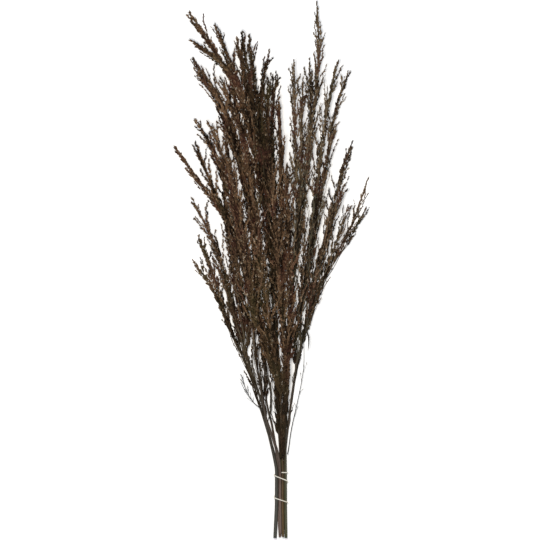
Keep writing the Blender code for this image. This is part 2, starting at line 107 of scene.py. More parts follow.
MOST_POKE = 0.36  # of a twig's length
UPRIGHT = 0.55  # how far a finger on a leaning tuft's upper side turns towards upright
LEAN_STEP = 0.05  # of the tuft's length, to both sides, where its lean is read
LOW_PART = 0.45  # of the tuft's length, where the twigs are barer
RISE = 0.45  # of a finger's poke where it points up or down
TIP_PART = 0.14  # of the tuft's length, where the fingers close up
LOWEST_TWIG = 1.2 * MM  # over the floor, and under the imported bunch's top
WIGGLE = (0.5 * MM, 1.4 * MM)
WIGGLE_LENGTH = (13 * MM, 26 * MM)
WIGGLE_GROWTH = 0.7  # power, along the twig

# The lowest twigs, and dark sheath remains on the stems, which also stand for painted shade deep in the neck
FOOT_EASING = 10  # times that the width is evened out from stem to plume
CLEAR_OF_TIE = 12 * MM  # from the cord's top turn to where they start
LOW_TWIG_LENGTH = (40 * MM, 110 * MM)
LOW_TWIG_BARE = ((0.58, 0.8), (0.8, 0.98))  # of its length, by turns
LOW_TWIG_REACH = 0.9  # of the half-width of what it grows on
LOW_TWIG_POKE = (3 * MM, 23 * MM)
LOW_EDGE_POKE = 0.2  # of it, where it points outward
LOW_TWIG_WIDTH = 1.7  # of the other twigs
LOW_TWIG_TINT = (0.1, 0.8)
SHEATH_AND_SHADE_HALF_WIDTH = 3.2 * MM

# The wisps' barbs
BARBS_FROM = 0.2  # of the wisp's length
BARBS_OVER = 0.72
BARB_STRAY = 0.5  # radians, from straight aside
BARB_LENGTH = (9 * MM, 20 * MM)
BARB_POKE = (1.5 * MM, 4.5 * MM)
BARB_BARE = 0.6  # of its length
BARB_WIDTH = 0.8  # of a twig's

# Spikelets, in clusters, and bracts
CLUSTER_STEP = 3.0 * MM  # along a twig
CLUSTER_PLACE = (0.1, 0.9)  # within its step
CLUSTER_SPREAD = 3.0 * MM  # of its roots, along the twig
CLUSTER_FAN = 1.3  # radians, round the twig
TWIGLET_REACH = (-2.0 * MM, 3.4 * MM)  # out from the twig. Under 0 there is none
TWIGLET_LEAN = (0.4, 1.0)
TWIGLET_RADIUS = 0.22 * MM
TWIGLET_TINT = 0.5
ON_TWIGLET = (0.2, 1)  # of its length, where spikelets have their roots
SPIKELETS = 10  # in one cluster
SPIKELET_LENGTH = (2.7 * MM, 5.2 * MM)
SPIKELET_WIDTH = (0.75 * MM, 1.35 * MM)  # from its middle to its edge
SPIKELET_LEAN = (0.15, 1.0)  # sideways, per length
HUSK_WIDEST = 0.35  # of its length from the root
HUSK_KEEL = 0.45  # of its width: how far its fold stands out at the root
HUSK_BACK = (0.12, 0.3, 1.0)  # the folded backs are turned this way
OWN_SHARE = 0.4  # of a spikelet's tint. The rest is its cluster's
DWINDLING = 0.47  # of a cluster at the tip of its twig
BRACT_STEP = 1.1 * MM  # along a tuft of the usual half-width
BRACT_PLACE = (0.02, 0.9)  # of the stretch that they are on
BRACT_LENGTH = (8 * MM, 13 * MM)
BRACT_WIDTH = (1.3 * MM, 2.1 * MM)
BRACT_REACH = 0.65  # of the tuft's half-width, at most
BRACT_CLOSING = 4  # power: the higher, the later they close up to the stalk
BRACT_LEAN = (0.05, 0.3)
BRACT_DWINDLING = 0.5  # at the tuft's tip
BRACT_TINT = 0.5  # the lightest of theirs

# Stems
STEM_SIDES = 16
STEM_RINGS = 90
STEM_SLIMMING = 0.3  # of its radius, from the tie to the plume
SLIMMING_POWER = 0.7
STEM_WALL = 0.34  # of its radius, at the cut end
STEM_HOLLOW = 0.03  # of its length, the depth of its hollow end
JOINT_RIDGE = 0.1  # of the stem's radius
JOINT_RIDGE_WIDTH = 0.9 * MM
JOINT_STAIN = 1.2  # of that width, from the ridge down to its dark ring

# The cord: its place along the bunch, by its angle round the stems. 180 is their left side and 90 the top.
CORD_ANGLES = (112, 0, -180, -360, -540, -720, -800)
CORD_Y = np.array((20.8, 20.8, 17.4, 8.3, -13.9, -21.5, -22.0)) * MM  # from the middle of the tie
CORD_TUCK = 8.4 * MM  # of its first end is hidden between the stems
CORD_RADIUS = 0.75 * MM
CORD_GAP = 0.26 * MM
CORD_STEP = math.radians(4)
PLIES = 3
PLY_RADIUS = 0.39 * MM
PLY_OFFSET = 0.4 * MM  # from the middle of the cord
PLY_PITCH = 7.5 * MM
PLY_STEP = 0.6 * MM
PLY_RESOLUTION = 2
PLY_SIDES = 4 + 2 * PLY_RESOLUTION

# Leaves
LEAF_RINGS = 60
LEAF_CREASES = 8
LEAF_THICKNESS = 0.3 * MM
LEAF_FOLD = 0.55  # of its half-width: how deep it is folded
FOLD_ROUNDING = 1.3  # power: at 1 the fold is sharp
FOLD_BELOW = 0.4  # of its depth, under the blade's middle line
LEAF_TWIST = math.radians(70)
LEAF_WAVER = 0.3  # radians, to and fro on top of the twist
WAVER_TURNS = 9  # radians of that wave, along the blade
LEAF_FRAYING = 0.25  # of its half-width
FRAY_WAVES = (47, 111)  # radians along the blade, for each of two waves
FRAY_SHIFTS = (2, 3)  # radians of theirs, one way on each edge
FRAY_START = 6  # radians, at most, of the first wave
LEAF_TIP = (1.15, 0.12)  # of the full width: what it narrows from, and how narrow it ends
LEAF_CREASE_ANGLE = math.radians(50)

# Floor, light and camera
FLOOR_SIZE = 6
FLOOR_CELLS = 4  # along each side
WORLD_LIGHT = 0.32
WORLD_COLOUR = (0.86, 1, 1.2)
TABLE_GLOW = 0.32
GLOW_COLOUR = (1.04, 1, 0.94)
KEY_LIGHT = (-0.08, 0.07, 2.3)
KEY_POWER = 34
KEY_SIZE = 0.25
KEY_COLOUR = (1.05, 1, 0.93)
VIEW_MIDDLE = (-2.2 * MM, 1.4 * MM)
VIEW_WIDTH = 0.752  # of the floor that the picture takes in
VIEW_DEPTH = 20
LENS = 400.0
SENSOR = 36.0


# ---- Finishes


class Wire:
    """A socket whose arithmetic adds Math nodes."""

    def __init__(self, finish, socket):
        self.finish = finish
        self.socket = socket

    def maths(self, operation, other):
        return self.finish.node("ShaderNodeMath", {"operation": operation}, {0: self, 1: other})

    def __add__(self, other):
        return self.maths("ADD", other)

    def __mul__(self, other):
        return self.maths("MULTIPLY", other)

    __radd__ = __add__
    __rmul__ = __mul__


class Finish:
    """A material whose nodes are added in code."""

    def __init__(self, name):
        self.material = bpy.data.materials.new(name)
        self.material.use_nodes = True
        self.tree = self.material.node_tree
        self.shader = self.tree.nodes["Principled BSDF"]

    def node(self, kind, settings, sockets, output=0):
        made = self.tree.nodes.new(kind)
        for name, value in settings.items():
            setattr(made, name, value)
        for name, value in sockets.items():
            self.feed(made.inputs[name], value)
        return Wire(self, made.outputs[output])

    def feed(self, socket, value):
        if isinstance(value, Wire):
            self.tree.links.new(value.socket, socket)
        else:
            socket.default_value = value

    def shade(self, **sockets):
        for name, value in sockets.items():
            self.feed(self.shader.inputs[name.replace("_", " ").title().replace("Ior", "IOR")], value)

    def attribute(self, name):
        return self.node("ShaderNodeAttribute", {"attribute_name": name}, {}, "Fac")

    def place(self, stretch=(1, 1, 1)):
        """Object coordinates, multiplied along each axis."""
        coordinates = self.node("ShaderNodeTexCoord", {}, {}, "Object")
        return self.node("ShaderNodeVectorMath", {"operation": "MULTIPLY"}, {0: coordinates, 1: stretch})

    def coordinate(self, axis):
        """X across the bunch, Y along it, or Z over the floor."""
        return self.node("ShaderNodeSeparateXYZ", {}, {0: self.place()}, axis)

    def shade_inside_bunch(self):
        """Where shade is painted: 1 low down in the middle of the bunch, and 0 at its upper side, its edges
        and its tips.
        """
        aside = self.coordinate("X")
        middle = self.spread(aside * aside, INNER_SHADE_SPAN**2, 0) * self.spread(self.coordinate("Y"), *INNER_SHADE_END)
        return self.spread(self.coordinate("Z"), *INNER_SHADE_HEIGHT) * middle

    def along_and_around(self, along_scale):
        """Coordinates that follow the piece: round it, and along it at this scale."""
        sockets = {0: self.attribute("around"), 1: self.attribute("along") * along_scale}
        return self.node("ShaderNodeCombineXYZ", {}, sockets)

    def noise(self, place, scale, detail=3):
        sockets = {"Vector": place, "Scale": scale, "Detail": detail, "Roughness": 0.55}
        return self.node("ShaderNodeTexNoise", {}, sockets)

    def spread(self, value, low, high, to_low=0.0, to_high=1.0):
        """The value, read from one range into another and held within it."""
        sockets = {"Value": value, "From Min": low, "From Max": high, "To Min": to_low, "To Max": to_high}
        return self.node("ShaderNodeMapRange", {}, sockets)

    def mix(self, share, first, second, way="MIX"):
        """Two colours: the first, with this share of the second."""
        settings = {"data_type": "RGBA", "blend_type": way}
        return self.node("ShaderNodeMix", settings, {0: share, 6: paint(first), 7: paint(second)}, 2)

    def bump(self, height, strength, distance):
        sockets = {"Height": height, "Strength": strength, "Distance": distance}
        return self.node("ShaderNodeBump", {}, sockets)


def paint(colour):
    """For a shader, a colour as on a screen, out of 255. One from a node stays as it is."""
    if isinstance(colour, Wire):
        return colour
    return (*((channel / 255) ** 2.2 for channel in colour), 1)


@dataclass
class Tone:
    """The colours of a plume's spikelets and stalks."""

    shade: tuple
    body: tuple
    light: tuple
    stalk: tuple


TONES = {
    "russet": Tone((40, 28, 18), (145, 112, 83), (192, 159, 125), (146, 128, 104)),
    "umber": Tone((46, 34, 22), (149, 119, 91), (198, 170, 138), (142, 128, 104)),
    "weathered": Tone((46, 36, 25), (140, 116, 88), (198, 172, 140), (150, 142, 118)),
    "dark": Tone((32, 24, 15), (90, 70, 49), (148, 122, 93), (108, 98, 76)),
    "grey": Tone((88, 88, 82), (140, 136, 126), (190, 186, 176), (150, 150, 146)),
}
RUSTY_HUSKS = (116, 74, 62)
OLIVE_HUSKS = (84, 78, 50)
OLIVE_BELOW = (0.05, -0.12)  # along the bunch, over which more and more husks turn olive
DARK_BELOW = (-0.07, -0.18)  # along the bunch, over which the sprays turn dark
PALE_HUSKS = (225, 212, 190)
PAINTED_INNER_SHADE = (24, 17, 11)  # painted shade deep inside the bunch, which these three bound
INNER_SHADE_HEIGHT = (0.055, 0.015)  # over the floor
INNER_SHADE_SPAN = 0.075  # to each side
INNER_SHADE_END = (0.2, 0.1)  # along the bunch
HUSK_GRAIN = ((150, 150, 150), (255, 255, 255))
DARK_STEM = (56, 47, 35)
STEM_DARKENING = (50 * MM, 150 * MM)  # from the cut end, over which a stem turns that dark
GREEN_STEM = (62, 66, 38)
STAINED_JOINT = (34, 26, 20)
CUT_FLESH = (176, 156, 126)
LEAF_VEINS = ((40, 33, 26), (76, 68, 52))
LEAF_BLOTCHES = (36, 28, 22)
CORD_FIBRES = ((228, 216, 194), (252, 248, 236))
CORD_SOIL = (196, 174, 140)
TABLE_WHITES = ((246, 246, 246), (250, 250, 250))
TINTS = ("own_tint", "twig_tint", "toward_tip", "is_stalk")  # of a spray's corners


def spray_finish(name, tone):
    """Dry spikelets: each has its own tint, each twig its own depth, and patches are rusty or olive. Shade is
    painted on them low down in the middle of the bunch.
    """
    finish = Finish(name)
    own, twig, tip, stalk = (finish.attribute(tint) for tint in TINTS)
    patches = finish.noise(finish.place((1, 0.35, 1)), scale=26, detail=2)
    mottle = finish.noise(finish.place((1, 0.5, 1)), scale=70)
    grain = finish.noise(finish.place(), scale=900, detail=2)
    rust = finish.noise(finish.place((1, 0.6, 1)), scale=34, detail=2)
    depth = finish.spread(twig * 0.6 + own * 0.45 + mottle, 0.7, 1.3)
    colour = finish.mix(depth, tone.shade, tone.body)
    colour = finish.mix(finish.spread(rust, 0.5, 0.64) * 0.5, colour, RUSTY_HUSKS)
    colour = finish.mix(finish.spread(own, 0.6, 0.85) * (tip * 0.4 + 0.35), colour, tone.light)
    low = finish.spread(finish.coordinate("Y"), *OLIVE_BELOW)
    colour = finish.mix(finish.spread(patches + low * 0.1, 0.54, 0.7) * 0.55, colour, OLIVE_HUSKS)
    colour = finish.mix(finish.spread(own, 0.89, 0.91) * 0.8, colour, PALE_HUSKS)
    bare = finish.mix(finish.spread(twig, 0.3, 0.8), tone.shade, tone.stalk)
    colour = finish.mix(stalk, colour, bare)
    # Painted shade: the husks low down in the middle of the bunch, where the plumes shade each other, are
    # darkened.
    colour = finish.mix(finish.shade_inside_bunch() * 0.65, colour, PAINTED_INNER_SHADE)
    foot = finish.spread(finish.coordinate("Y"), *DARK_BELOW)
    colour = finish.mix(foot * 0.45, colour, DARK_STEM)
    colour = finish.mix(0.35, colour, finish.mix(grain, *HUSK_GRAIN), "MULTIPLY")
    finish.shade(base_color=colour, roughness=finish.spread(grain, 0.3, 0.7, 0.62, 0.85))
    finish.shade(normal=finish.bump(grain, strength=0.25, distance=0.2 * MM), specular_ior_level=0.12)
    return finish.material


def stem_finish(name, body, streak):
    """A dry stem: ribs, dark blotches, some green, and pale flesh at the cut end. It darkens further up."""
    finish = Finish(name)
    ribs = finish.noise(finish.along_and_around(20), scale=9, detail=4)
    blotches = finish.noise(finish.place((1, 0.4, 1)), scale=60, detail=4)
    green = finish.noise(finish.place((1, 0.5, 1)), scale=36, detail=2)
    colour = finish.mix(finish.spread(ribs, 0.38, 0.62), streak, body)
    colour = finish.mix(finish.spread(blotches, 0.5, 0.7) * 0.7, colour, streak)
    colour = finish.mix(finish.spread(green, 0.55, 0.7) * 0.6, colour, GREEN_STEM)
    above = finish.spread(finish.attribute("along"), *STEM_DARKENING)
    colour = finish.mix(above * 0.8, colour, DARK_STEM)
    colour = finish.mix(finish.attribute("joint") * 0.8, colour, STAINED_JOINT)
    colour = finish.mix(finish.attribute("inside"), colour, CUT_FLESH)
    finish.shade(base_color=colour, roughness=finish.spread(ribs, 0.3, 0.7, 0.45, 0.65))
    finish.shade(normal=finish.bump(ribs, strength=0.4, distance=0.15 * MM), specular_ior_level=0.3)
    return finish.material


def leaf_finish():
    """A withered blade: veins along it, and brown blotches."""
    finish = Finish("dry_leaf")
    veins = finish.noise(finish.along_and_around(10), scale=14)
    blotches = finish.noise(finish.place(), scale=120, detail=4)
    colour = finish.mix(finish.spread(veins, 0.35, 0.65), *LEAF_VEINS)
    colour = finish.mix(finish.spread(blotches, 0.5, 0.7) * 0.5, colour, LEAF_BLOTCHES)
    finish.shade(base_color=colour, roughness=0.7)
    finish.shade(normal=finish.bump(veins, strength=0.4, distance=0.1 * MM))
    return finish.material


def cord_finish():
    """Cream cotton: fine fibres that run with each ply, darker where dust has gathered."""
    finish = Finish("cream_cord")
    fibres = finish.noise(finish.along_and_around(350), scale=3, detail=4)
    soil = finish.noise(finish.place(), scale=110)
    colour = finish.mix(finish.spread(fibres, 0.3, 0.7), *CORD_FIBRES)
    colour = finish.mix(finish.spread(soil, 0.55, 0.8) * 0.3, colour, CORD_SOIL)
    finish.shade(base_color=colour, roughness=0.88)
    finish.shade(normal=finish.bump(fibres, strength=0.6, distance=0.1 * MM))
    return finish.material


def floor_finish():
    """A white table that glows a little, so that only soft shadows lie on it."""
    finish = Finish("pale_floor")
    cloud = finish.noise(finish.place(), scale=3)
    finish.shade(base_color=finish.mix(cloud, *TABLE_WHITES), roughness=0.9)
    finish.shade(emission_color=(*GLOW_COLOUR, 1), emission_strength=TABLE_GLOW)
    return finish.material


# ---- Lines and directions


def between(share, own, rows):
    """Rows that stand at these shares, read at other shares."""
    return np.stack([np.interp(share, own, column) for column in rows.T], axis=-1)


def evened(rows):
    """Rows smoothed along a route, with both ends kept."""
    smooth = rows.copy()
    smooth[1:-1] = (rows[:-2] + 2 * rows[1:-1] + rows[2:]) / 4
    return smooth


def distances_along(places):
    """How far along their line each of these places is."""
    return np.concatenate([[0], np.cumsum(np.linalg.norm(np.diff(places, axis=0), axis=1))])


def unit(rows):
    """Rows of directions, each of length 1."""
    return rows / np.linalg.norm(rows, axis=1)[:, None]


def square_to(ahead, reference):
    """Two directions square to each of these, the first of them square to the reference too."""
    side = unit(np.cross(ahead, reference))
    return side, np.cross(side, ahead)


def lengthwise(places, reference=(0, 0, 1)):
    """Directions along rows of places, and two directions square to them."""
    ahead = unit(np.gradient(places, axis=0))
    return ahead, *square_to(ahead, reference)


def turned(angle, side, up):
    """The directions at these angles from the side towards up."""
    return np.cos(angle)[:, None] * side + np.sin(angle)[:, None] * up


def inset(share, margin):
    """Shares of a strip's width, as shares of the strip with its margins."""
    return margin + (1 - 2 * margin) * share


# ---- Reading the solids


def corners_of(mesh):
    return np.array([vertex.co for vertex in mesh.vertices])


def faces_of(mesh):
    return np.array([face.vertices for face in mesh.polygons])


@dataclass
class Route:
    """The middle of a solid along the bunch, and its half-width and half-height there."""

    places: np.ndarray
    half: np.ndarray

    @property
    def distances(self):
        return distances_along(self.places)

    @property
    def length(self):
        return float(self.distances[-1])

    @property
    def shares(self):
        return self.distances / self.length

    @property
    def stations(self):
        """Each place's number, from 0 at its foot to 1 at its tip."""
        return np.linspace(0, 1, len(self.places))

    @property
    def ahead(self):
        """The direction in which it ends."""
        step = self.places[-1] - self.places[-3]
        return step / np.linalg.norm(step)

    def at(self, share):
        """Places and half-sizes at these shares of the route."""
        return between(share, self.shares, self.places), between(share, self.shares, self.half)

    def half_width(self, station):
        return np.interp(station, self.stations, self.half[:, 0])

    def laid(self, station, level, height):
        """Where points so far to the side of the route and over it are."""
        _, side, up = lengthwise(self.places)
        places, side, up = (between(station, self.stations, rows) for rows in (self.places, side, up))
        return places + side * level[:, None] + up * height[:, None]

    def last(self, length):
        """Its last stretch of about this length."""
        kept = self.distances > self.length - length
        return Route(self.places[kept], self.half[kept])

    def then(self, other):
        """This route, with another one after it."""
        return Route(np.concatenate([self.places, other.places]), np.concatenate([self.half, other.half]))


class Solid:
    """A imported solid, cut across the bunch."""

    def __init__(self, node):
        corners, faces = corners_of(NODES[node].data), faces_of(NODES[node].data)
        self.starts = corners[faces].reshape(-1, 3)
        self.ends = corners[np.roll(faces, -1, axis=1)].reshape(-1, 3)

    def section(self, y):
        """The middle of the section at this y, and its half-width and half-height."""
        crossing = (self.starts[:, 1] < y) != (self.ends[:, 1] < y)
        start, end = self.starts[crossing], self.ends[crossing]
        share = ((y - start[:, 1]) / (end[:, 1] - start[:, 1]))[:, None]
        cut = start + (end - start) * share
        low, high = cut.min(axis=0), cut.max(axis=0)
        return (low + high) / 2, (high - low)[[0, 2]] / 2

    def route(self, stations):
        """From its lowest y to its highest."""
        low, high = self.starts[:, 1].min(), self.starts[:, 1].max()
        edge = (high - low) * 1e-3
        sections = [self.section(y) for y in np.linspace(low + edge, high - edge, stations)]
        places, half = (np.array(rows) for rows in zip(*sections))
        return Route(evened(places), evened(half))


def tie_middle():
    """How far along the bunch the middle of the tie is."""
    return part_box("tie_cord")[1][1] - CORD_RADIUS - CORD_Y[0]


# ---- Meshes


def deselect():
    bpy.ops.object.select_all(action="DESELECT")


def new_object(name, data):
    made = bpy.data.objects.new(name, data)
    bpy.context.scene.collection.objects.link(made)
    return made


def edit_only(piece, kind, wanted):
    """Edit mode, with only the wanted corners, edges or faces of the piece selected."""
    bpy.ops.object.mode_set(mode="EDIT")
    bpy.ops.mesh.select_mode(type=kind)
    bpy.ops.mesh.select_all(action="DESELECT")
    bpy.ops.object.mode_set(mode="OBJECT")
    mesh = piece.data
    for part in {"VERT": mesh.vertices, "EDGE": mesh.edges, "FACE": mesh.polygons}[kind]:
        part.select = wanted(part)
    bpy.ops.object.mode_set(mode="EDIT")


def end_edit():
    """Object mode again, with all faces turned outwards."""
    bpy.ops.mesh.select_all(action="SELECT")
    bpy.ops.mesh.normals_make_consistent(inside=False)
    bpy.ops.object.mode_set(mode="OBJECT")


def keep_piece(piece, node, finish):
    """The finished piece stands for the node and moves with the bunch."""
    piece.data.materials.clear()
    piece.data.materials.append(finish)
    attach(piece, "root")
    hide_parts(node)


def set_attribute(mesh, name, values):
    attribute = mesh.attributes.new(name, "FLOAT", "POINT")
    attribute.data.foreach_set("value", np.ascontiguousarray(values, np.float32))


def move_corners(mesh, places, lowest, along, around):
    """To these places and no lower, with how far along the piece and round it each corner is."""
    places[:, 2] = np.maximum(places[:, 2], lowest)
    mesh.vertices.foreach_set("co", places.astype(np.float32).ravel())
    set_attribute(mesh, "along", along)
    set_attribute(mesh, "around", around)
    mesh.update()


@dataclass
class Shape:
    """A small mesh whose copies are joined: it lies along +Y from 0 to 1, and reaches 1 to the side."""

    corners: np.ndarray
    faces: np.ndarray
    places_on_map: np.ndarray  # of each face's corners


def model_spikelet():
    """A folded husk, pointed at both ends and widest a third of the way up: root, tip and two wings."""
    depth = 1 - HUSK_WIDEST
    middle = HUSK_WIDEST + depth / 2
    bpy.ops.mesh.primitive_cone_add(vertices=3, radius1=1, radius2=0, depth=depth, location=(0, 0, middle))
    husk = bpy.context.object
    bpy.ops.object.transform_apply()
    # The front corner of the cone's foot goes down to the root, and the foot turns into two slanting sides.
    edit_only(husk, "VERT", lambda corner: corner.co.y > 0.5)
    bpy.ops.transform.translate(value=(0, HUSK_KEEL - 1, -HUSK_WIDEST))
    bpy.ops.mesh.select_all(action="SELECT")
    bpy.ops.transform.rotate(value=math.pi / 2, orient_axis="X", center_override=(0, 0, 0))
    end_edit()
    corners, faces = corners_of(husk.data), faces_of(husk.data)
    bpy.data.objects.remove(husk)
    # On the map, each face has its own strip of the spikelet's square.
    strips = np.arange(len(faces))[:, None]
    across = (strips + np.array([STRIP_MARGIN, 0.5, 1 - STRIP_MARGIN])) / len(faces)
    return Shape(corners, faces, np.stack([across, inset(corners[faces, 1], STRIP_MARGIN)], axis=-1))


def tint_rows(count, own, twig, is_stalk):
    rows = np.zeros((count, len(TINTS)))
    rows[:, 0] = own
    rows[:, 1] = twig
    rows[:, 3] = is_stalk
    return rows


class Spray:
    """Collects the twigs and spikelets of one tuft, and joins them into one mesh."""

    def __init__(self):
        self.parts = []
        self.count = 0

    def add(self, corners, faces, on_map, tints):
        self.parts.append((corners, faces + self.count, on_map, tints))
        self.count += len(corners)

    def add_tube(self, places, radius, sides, tint):
        """A thin tube along places, closed at both ends."""
        rings = len(places)
        _, side, up = lengthwise(places)
        angles = 2 * np.pi * np.arange(sides) / sides
        out = turned(angles, side[:, None], up[:, None])
        corners = (places[:, None] + out * radius[:, None, None]).reshape(-1, 3)
        ring, corner = np.mgrid[0 : rings - 1, 0:sides]
        near = ring * sides + corner
        near_next = ring * sides + (corner + 1) % sides
        quads = np.stack([near, near + sides, near_next + sides, near_next], axis=-1).reshape(-1, 4)
        foot = np.array([[0, k, k + 1] for k in range(1, sides - 1)])
        tip = foot[:, [0, 2, 1]] + (rings - 1) * sides
        faces = np.concatenate([quads[:, :3], quads[:, [0, 2, 3]], foot, tip])
        along = np.repeat(np.linspace(0, 1, rings), sides)
        around = np.tile(np.arange(sides) / sides, rings)
        on_map = inset(np.stack([around, along], axis=-1)[faces], STRIP_MARGIN)
        self.add(corners, faces, on_map, tint_rows(len(corners), tint, tint, 1))

    def add_spindles(self, shape, roots, along, width, tints):
        """Copies of the shape, from each root along its own direction."""
        ahead = unit(along)
        side, up = square_to(ahead, HUSK_BACK)
        corners = roots[:, None] + shape.corners[:, 1, None] * along[:, None]
        corners += shape.corners[:, 0, None] * (side * width[:, None])[:, None]
        corners += shape.corners[:, 2, None] * (up * width[:, None])[:, None]
        corners[..., 2] += np.maximum(FLOOR_GAP - corners[..., 2].min(axis=1), 0)[:, None]
        count = len(roots)
        faces = shape.faces + (np.arange(count) * len(shape.corners))[:, None, None]
        rows = math.ceil(math.sqrt(count))
        cell = np.stack([np.arange(count) % rows, np.arange(count) // rows], axis=-1)
        on_map = (cell[:, None, None] + inset(shape.places_on_map, CELL_MARGIN)) / rows
        tints = np.repeat(tints[:, None], len(shape.corners), axis=1)
        tints[..., 2] = shape.corners[:, 1]
        tints = tints.reshape(-1, len(TINTS))
        self.add(corners.reshape(-1, 3), faces.reshape(-1, 3), on_map.reshape(-1, 3, 2), tints)

    def mesh(self, name):
        corners, faces, on_map, tints = (np.concatenate(rows) for rows in zip(*self.parts))
        mesh = bpy.data.meshes.new(name)
        mesh.from_pydata(corners, [], faces)
        for tint, column in zip(TINTS, tints.T):
            set_attribute(mesh, tint, column)
        own_map = mesh.uv_layers.new(name="OFBake")
        own_map.uv.foreach_set("vector", on_map.astype(np.float32).ravel())
        mesh.shade_smooth()
        return mesh


# ---- Sprays


@dataclass
class Habit:
    """How a reed's tufts have grown, and their tone."""

    tone: str
    twigs: float = 1.0  # for the tuft's size
    fullness: float = 1.0  # clusters along a twig
    bare: float = 0.2  # of a twig's length
    poke: float = 1.0
    bracts: float = 1.0  # for the tuft's size
    husk_size: float = 1.0
    low_twigs: int = 34  # on the stem
    low_bare: float = 0.25  # of a twig's length, more for the lowest ones
    bare_stretch: float = 0.0  # of the plume's leading branch that long bare twigs start on too
    low_stretch: float = 130 * MM  # of the stem, where the lowest twigs and the sheaths are
    sheaths_and_shade: int = 0  # bracts on the stem: sheath remains, which also stand for painted shade in the neck
    sheath_and_shade_tint: float = 0.1  # the lightest of theirs. Low values keep them near-black, as painted shade
    leading: float = 1.4  # vigour of the husks at the tip of a tuft's own stalk
    edge_poke: float = 0.1  # of a twig's poke, where it points outward at a tuft's foot


HABITS = {
    "far_left": Habit("umber", twigs=1.45, fullness=0.8, low_twigs=28),
    "left": Habit("umber", twigs=1.4, fullness=0.86, poke=1.35),
    "left_front": Habit("russet", twigs=1.35, fullness=0.94, bare=0.15, poke=1.35),
    "upper_left": Habit("russet", twigs=1.2, fullness=1.1, bare=0.15, poke=1.4, low_twigs=42, sheaths_and_shade=40),
    "top_left": Habit(
        "russet", twigs=1.33, fullness=1.08, bare=0.15, poke=1.4, low_twigs=38,
        low_stretch=190 * MM, sheaths_and_shade=160, sheath_and_shade_tint=0.9, leading=2.0,
    ),
    "top_centre": Habit("dark", twigs=1.33, poke=1.4, low_twigs=28, low_stretch=180 * MM, sheaths_and_shade=300),
    "centre_front": Habit(
        "russet", twigs=1.4, fullness=1.1, bare=0.1, poke=1.3, bracts=1.2, low_twigs=44,
        low_bare=0.2, sheaths_and_shade=400, sheath_and_shade_tint=0.8, edge_poke=0.45,
    ),
    "tall_right": Habit(
        "weathered", twigs=1.43, bare=0.25, poke=0.75, bracts=0.5, husk_size=0.9, low_twigs=38,
        low_bare=0.6, bare_stretch=0.4, low_stretch=190 * MM, sheaths_and_shade=160, sheath_and_shade_tint=0.9,
    ),
    "upper_right": Habit(
        "weathered", twigs=1.28, bare=0.3, poke=0.9, bracts=0.5, husk_size=0.92,
        low_bare=0.6, bare_stretch=0.5,
    ),
    "far_right": Habit(
        "umber", twigs=1.1, bare=0.3, poke=0.8, bracts=0.7, husk_size=0.8, low_twigs=24,
        low_bare=0.4, bare_stretch=0.3,
    ),
}
WISP = Habit("grey", fullness=0.12, husk_size=0.4)


def grow_twig(route, start, length, angle, reach, poke, rng):
    """The line of a twig. It leaves the stalk at a slant, and may end where it stands out of the tuft."""
    share = np.linspace(0, 1, 3 * TWIG_RINGS)
    along = start + share * length / route.length
    places, _ = route.at(np.minimum(along, 1))
    places += np.maximum(along - 1, 0)[:, None] * route.length * route.ahead
    aim = route.at(min(start + TWIG_AIM * length / route.length, 1))[1] * reach
    toward = np.array([math.cos(angle), math.sin(angle)])
    leaving = 1 - (1 - share) ** LEAVING
    out = (aim * leaving[:, None] + poke * np.array([1, RISE]) * share[:, None] ** POKING) * toward
    turns = 2 * np.pi * (share * length / rng.uniform(*WIGGLE_LENGTH) + rng.random((2, 1)))
    out += (rng.uniform(*WIGGLE) * np.sin(turns) * share**WIGGLE_GROWTH).T
    places[:, [0, 2]] += out
    places[:, 2] = np.clip(places[:, 2], LOWEST_TWIG, CAD_BOX[1].z - LOWEST_TWIG)
    return between(np.linspace(0, 1, TWIG_RINGS), share, places)


def husks_on(line, bare, fullness, vigour, twig_tint, rng):
    """Clusters of spikelets along a twig's line, past its bare foot. Each stands to its own side of the twig,
    many on a twiglet, and they dwindle towards its tip. Gives roots, reaches, widths and tints, for spikelets
    and twiglets together."""
    distance = distances_along(line)
    count = max(math.ceil(fullness), round(distance[-1] * (1 - bare) * fullness / CLUSTER_STEP))
    share = bare + (1 - bare) * (np.arange(count) + rng.uniform(*CLUSTER_PLACE, count)) / count
    there = share * distance[-1]
    foot, ahead, side, up = (between(there, distance, rows) for rows in (line, *lengthwise(line)))
    growth = vigour * (1 - DWINDLING * share**2) * rng.uniform(*VIGOUR, count)

    angle = rng.uniform(0, 2 * np.pi) + GOLDEN_ANGLE * np.arange(count) + rng.normal(0, TURN_STRAY, count)
    twiglet = ahead + turned(angle, side, up) * rng.uniform(*TWIGLET_LEAN, count)[:, None]
    reach = np.maximum(rng.uniform(*TWIGLET_REACH, count), 0) * growth
    twiglet *= (reach / np.linalg.norm(twiglet, axis=1))[:, None]

    each = np.repeat(np.arange(count), SPIKELETS)
    spread = rng.uniform(-0.5, 0.5, len(each))[:, None] * CLUSTER_SPREAD
    on_twiglet = rng.uniform(*ON_TWIGLET, len(each))[:, None]
    roots = foot[each] + twiglet[each] * on_twiglet + ahead[each] * spread
    fan = angle[each] + rng.normal(0, CLUSTER_FAN, len(each))
    lean = rng.uniform(*SPIKELET_LEAN, len(each))[:, None]
    husk = ahead[each] + turned(fan, side[each], up[each]) * lean
    length = rng.uniform(*SPIKELET_LENGTH, len(each)) * growth[each]
    husk *= (length / np.linalg.norm(husk, axis=1))[:, None]
    width = rng.uniform(*SPIKELET_WIDTH, len(each)) * growth[each]
    own = OWN_SHARE * rng.random(len(each)) + (1 - OWN_SHARE) * rng.random(count)[each]

    grown = reach > TWIGLET_RADIUS
    thin = np.full(grown.sum(), TWIGLET_RADIUS)
    spikelets = roots, husk, width, tint_rows(len(each), own, twig_tint, 0)
    twiglets = foot[grown], twiglet[grown], thin, tint_rows(len(thin), TWIGLET_TINT, twig_tint, 1)
    return [np.concatenate(rows) for rows in zip(spikelets, twiglets)]


